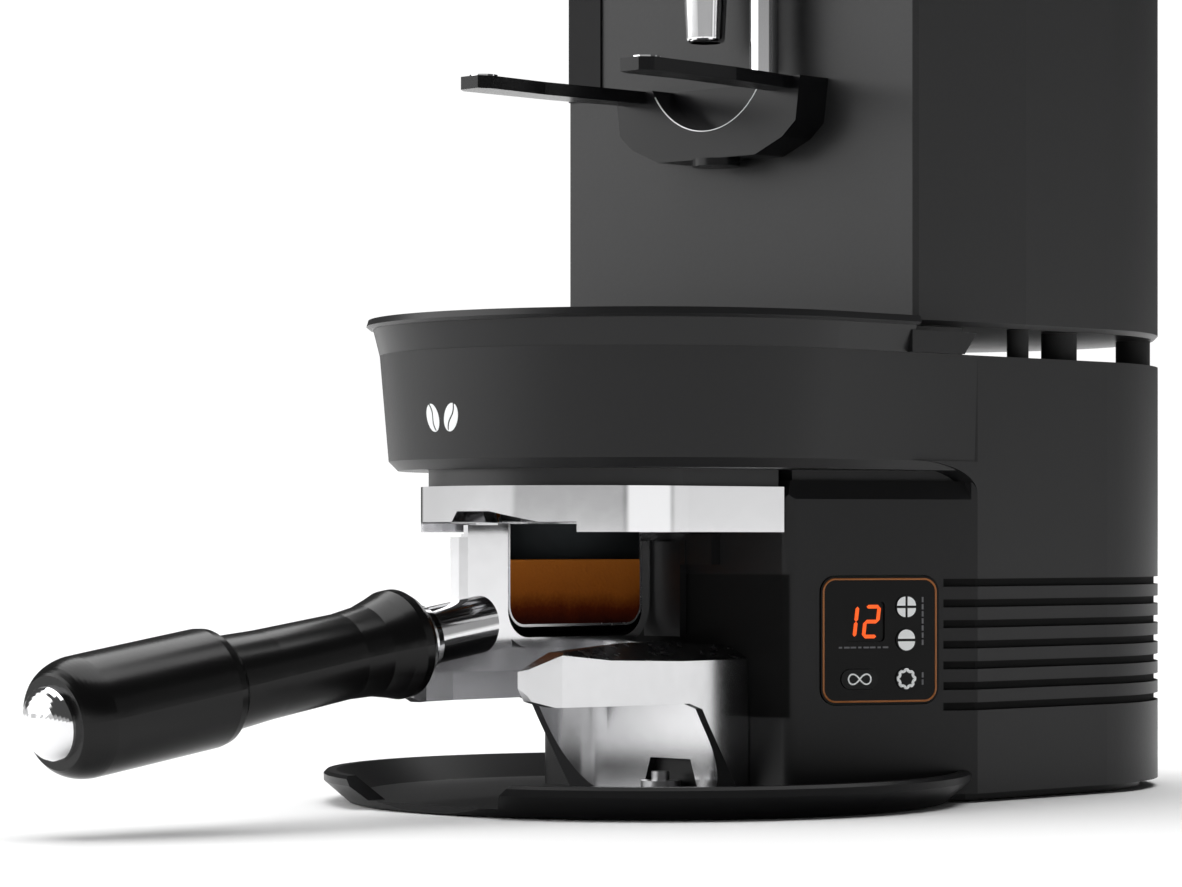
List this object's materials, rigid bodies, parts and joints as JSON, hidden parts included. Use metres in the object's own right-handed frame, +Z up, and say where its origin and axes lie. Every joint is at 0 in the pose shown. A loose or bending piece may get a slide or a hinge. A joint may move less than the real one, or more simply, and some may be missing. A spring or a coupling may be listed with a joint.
{
  "type": "coffee tamper and grinder",
  "caption": "Automatic coffee tamper with a cut-away portafilter on its stand, control panel and collecting tray, under an on-demand grinder tower with hopper.",
  "frame": {"origin": "on the counter, straight below the tamping axis", "axes": "+Z up, -Y towards the handle (front), +X towards the control-panel side"},
  "size_m": [0.212, 0.4717, 0.56],
  "materials": {
    "black_body": "fine matt black powder coat",
    "dark_plastic": "matt black moulding",
    "gloss_panel": "gloss black bezel",
    "button_caps": null,
    "bright_chrome": "mirror plated",
    "polished_alloy": "polished casting",
    "basket_steel": "drawn steel",
    "steel": "turned steel",
    "rubber_black": "soft feet",
    "grip_black": "satin black grip",
    "coffee": "pressed ground coffee",
    "clear_smoke": "smoked clear moulding",
    "circuit_green": "printed circuit",
    "brass_gear": "cut brass",
    "display_red": "display block"
  },
  "bodies": {
    "base_unit": {"housing": "black_body", "base_plate": "black_body", "rubber_feet": "rubber_black", "neck_ring": "dark_plastic", "guide_ring": "bright_chrome", "rear_stop": "dark_plastic", "lever_pin": "steel", "support_bracket": "polished_alloy", "bracket_screw": "steel", "idler_axle": "steel", "gear_plate": "steel", "nut_retainer": "steel", "motor": "steel", "gearbox": "steel", "motor_stand": "dark_plastic", "control_panel": "gloss_panel", "control_board": "circuit_green", "display_module": "display_red", "power_supply": "circuit_green", "supply_components": "dark_plastic", "mains_inlet": "dark_plastic", "switch_frame": "dark_plastic", "tower_shell": "black_body", "tower_plinth": "dark_plastic", "tower_feet": "rubber_black", "spout": "bright_chrome", "guide_post": "bright_chrome", "tower_trim": "dark_plastic", "upper_burr": "steel", "burr_chamber": "polished_alloy", "grinder_motor": "steel", "throat": "polished_alloy", "hopper": "clear_smoke"},
    "collecting_tray": {"collecting_tray": "dark_plastic"},
    "piston": {"piston": "dark_plastic", "piston_rod": "steel"},
    "nut": {"nut_gear": "brass_gear"},
    "idler": {"idler_gear": "brass_gear"},
    "pinion": {"motor_pinion": "steel"},
    "portafilter": {"portafilter_bowl": "bright_chrome", "basket": "basket_steel", "coffee_puck": "coffee", "ferrule": "bright_chrome", "grip": "grip_black", "grip_end_cap": "bright_chrome", "tie_rod": "steel"},
    "sensor_lever": {"sensor_lever": "dark_plastic"},
    "button_plus": {"button_plus": "button_caps"},
    "button_minus": {"button_minus": "button_caps"},
    "button_settings": {"button_settings": "button_caps"},
    "button_loop": {"button_loop": "button_caps"},
    "power_rocker": {"power_rocker": "gloss_panel"},
    "fork": {"fork": "dark_plastic", "fork_tips": "bright_chrome"},
    "fork_knob": {"fork_knob": "dark_plastic"},
    "burr_rotor": {"lower_burr": "steel", "burr_shaft": "steel"},
    "grind_collar": {"grind_collar": "dark_plastic"},
    "hopper_lid": {"hopper_lid": "dark_plastic"}
  },
  "joints": [
    {"name": "nut_spin", "type": "hinge", "parent": "base_unit", "child": "nut", "pos_m": [0, 0, 0.12], "axis": [0, 0, 1], "range_deg": [0, 726]},
    {"name": "piston_slide", "type": "slide", "parent": "base_unit", "child": "piston", "axis": [0, 0, -1], "range_m": [0, 0.01211]},
    {"name": "idler_spin", "type": "hinge", "parent": "base_unit", "child": "idler", "pos_m": [0, 0.05, 0.12], "axis": [0, 0, 1], "range_deg": [-787.5, 0]},
    {"name": "pinion_spin", "type": "hinge", "parent": "base_unit", "child": "pinion", "pos_m": [0, 0.084, 0.12], "axis": [0, 0, 1], "range_deg": [0, 1888.6]},
    {"name": "portafilter_slide", "type": "slide", "parent": "base_unit", "child": "portafilter", "axis": [0, -1, 0], "range_m": [0, 0.12]},
    {"name": "tray_lift", "type": "slide", "parent": "base_unit", "child": "collecting_tray", "axis": [0, 0, 1], "range_m": [0, 0.03]},
    {"name": "lever_swing", "type": "hinge", "parent": "base_unit", "child": "sensor_lever", "pos_m": [0.0044, 0.037, 0.0825], "axis": [1, 0, 0], "range_deg": [0, 2.3], "stiffness_Nm_per_rad": 0.05},
    {"name": "press_plus", "type": "slide", "parent": "base_unit", "child": "button_plus", "axis": [-0.9021, 0.4315, 0], "range_m": [0, 0.0005], "stiffness_N_per_m": 300},
    {"name": "press_minus", "type": "slide", "parent": "base_unit", "child": "button_minus", "axis": [-0.9021, 0.4315, 0], "range_m": [0, 0.0005], "stiffness_N_per_m": 300},
    {"name": "press_settings", "type": "slide", "parent": "base_unit", "child": "button_settings", "axis": [-0.9021, 0.4315, 0], "range_m": [0, 0.0005], "stiffness_N_per_m": 300},
    {"name": "press_loop", "type": "slide", "parent": "base_unit", "child": "button_loop", "axis": [-0.9021, 0.4315, 0], "range_m": [0, 0.0005], "stiffness_N_per_m": 300},
    {"name": "rocker_tilt", "type": "hinge", "parent": "base_unit", "child": "power_rocker", "pos_m": [-0.028, 0.24617, 0.032], "axis": [1, 0, 0], "range_deg": [-6, 6]},
    {"name": "fork_height", "type": "slide", "parent": "base_unit", "child": "fork", "axis": [0, 0, 1], "range_m": [-0.012, 0]},
    {"name": "knob_turn", "type": "hinge", "parent": "fork", "child": "fork_knob", "pos_m": [0, 0.0662, 0.2113], "axis": [0, 0, 1], "continuous": true},
    {"name": "burr_spin", "type": "hinge", "parent": "base_unit", "child": "burr_rotor", "pos_m": [0, 0.15, 0.304], "axis": [0, 0, 1], "continuous": true},
    {"name": "collar_turn", "type": "hinge", "parent": "base_unit", "child": "grind_collar", "pos_m": [0, 0.15, 0.397], "axis": [0, 0, 1], "range_deg": [-90, 90]},
    {"name": "lid_lift", "type": "slide", "parent": "base_unit", "child": "hopper_lid", "axis": [0, 0, 1], "range_m": [0, 0.04]}
  ],
  "couplings": [
    {"joint": "piston_slide", "follows": "nut_spin", "m_per_rad": 0.00095493},
    {"joint": "idler_spin", "follows": "nut_spin", "ratio": -1.0833},
    {"joint": "pinion_spin", "follows": "nut_spin", "ratio": 2.6}
  ]
}
